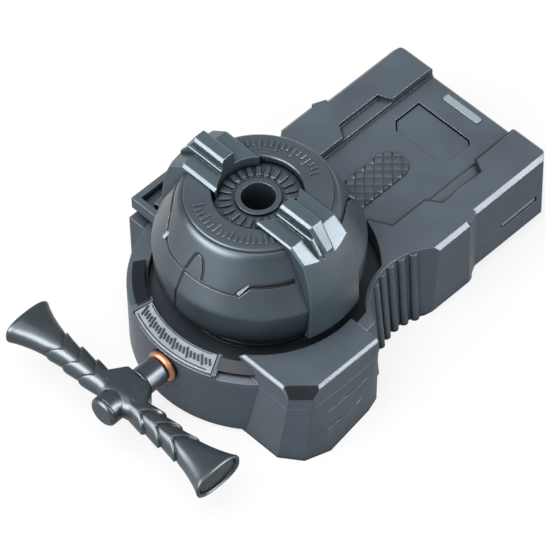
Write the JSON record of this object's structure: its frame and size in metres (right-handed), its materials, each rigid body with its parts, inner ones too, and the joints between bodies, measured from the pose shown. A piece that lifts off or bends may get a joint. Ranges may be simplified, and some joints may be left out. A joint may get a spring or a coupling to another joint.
{
  "type": "spinning top launcher",
  "caption": "Hand-held pull-cord launcher for a spinning top: round housing with a flat grip, cord reel, domed clawed head and T-handle.",
  "frame": {"origin": "on the spin axis of the head, at the flat underside of the housing", "axes": "+Z along the spin axis out of the head, -X the way the cord is pulled, +X towards the rear of the grip"},
  "size_m": [0.1469, 0.087, 0.0649],
  "materials": {
    "housing_plastic": "satin gunmetal",
    "head_plastic": "satin gunmetal",
    "handle_plastic": "satin gunmetal",
    "dark_plastic": "dark satin",
    "label_plastic": "pale blue grey",
    "ring_copper": "copper",
    "steel": "bright",
    "brass": "plain",
    "cord": "braided nylon"
  },
  "bodies": {
    "casing": {"lower_casing": "housing_plastic", "upper_casing": "housing_plastic", "front_collar": "housing_plastic", "label_plate": "label_plastic", "thumb_pad": "dark_plastic", "cover_plate": "housing_plastic", "rear_insert": "label_plastic", "casing_screws": "steel", "cord_eyelet": "brass", "bumper_ring": "ring_copper", "axle": "steel", "axle_washer": "steel", "axle_screw": "steel", "spring_barrel": "dark_plastic", "barrel_screws": "steel", "spiral_spring": "steel"},
    "reel": {"reel": "dark_plastic", "reel_cover": "dark_plastic", "pawl_pins": "steel", "wound_cord": "cord"},
    "pawl_a": {"pawl_a": "brass"},
    "pawl_b": {"pawl_b": "brass"},
    "head": {"ratchet_cup": "dark_plastic", "bearing_bush": "brass", "head_screws": "steel", "dome": "head_plastic", "top_plate": "head_plastic", "hub_disc": "head_plastic", "hub_sleeve": "head_plastic", "claw_near": "head_plastic", "claw_far": "head_plastic"},
    "handle": {"handle_core": "handle_plastic", "handle_neck": "handle_plastic", "nub_cap": "handle_plastic", "cord_knot": "cord", "pull_cord": "cord", "grip_sleeve_near": "handle_plastic", "grip_sleeve_far": "handle_plastic", "end_cap_near": "handle_plastic", "end_cap_far": "handle_plastic"}
  },
  "joints": [
    {"name": "handle_pull", "type": "slide", "parent": "casing", "child": "handle", "axis": [-1, 0, 0], "range_m": [0, 0.42], "stiffness_N_per_m": 6, "springref_m": -0.3, "deforming": ["pull_cord"]},
    {"name": "reel_turn", "type": "hinge", "parent": "casing", "child": "reel", "pos_m": [0, 0, 0], "axis": [0, 0, 1], "range_deg": [0, 2383]},
    {"name": "head_spin", "type": "hinge", "parent": "casing", "child": "head", "pos_m": [0, 0, 0], "axis": [0, 0, 1], "continuous": true},
    {"name": "pawl_a_swing", "type": "hinge", "parent": "reel", "child": "pawl_a", "pos_m": [0.012, 0, 0], "axis": [0, 0, 1], "range_deg": [0, 12], "stiffness_Nm_per_rad": 0.002, "springref_deg": -17.19},
    {"name": "pawl_b_swing", "type": "hinge", "parent": "reel", "child": "pawl_b", "pos_m": [-0.012, 0, 0], "axis": [0, 0, 1], "range_deg": [0, 12], "stiffness_Nm_per_rad": 0.002, "springref_deg": -17.19}
  ],
  "couplings": [
    {"joint": "reel_turn", "follows": "handle_pull", "rad_per_m": 98.52},
    {"joint": "head_spin", "follows": "handle_pull", "rad_per_m": 98.52}
  ]
}
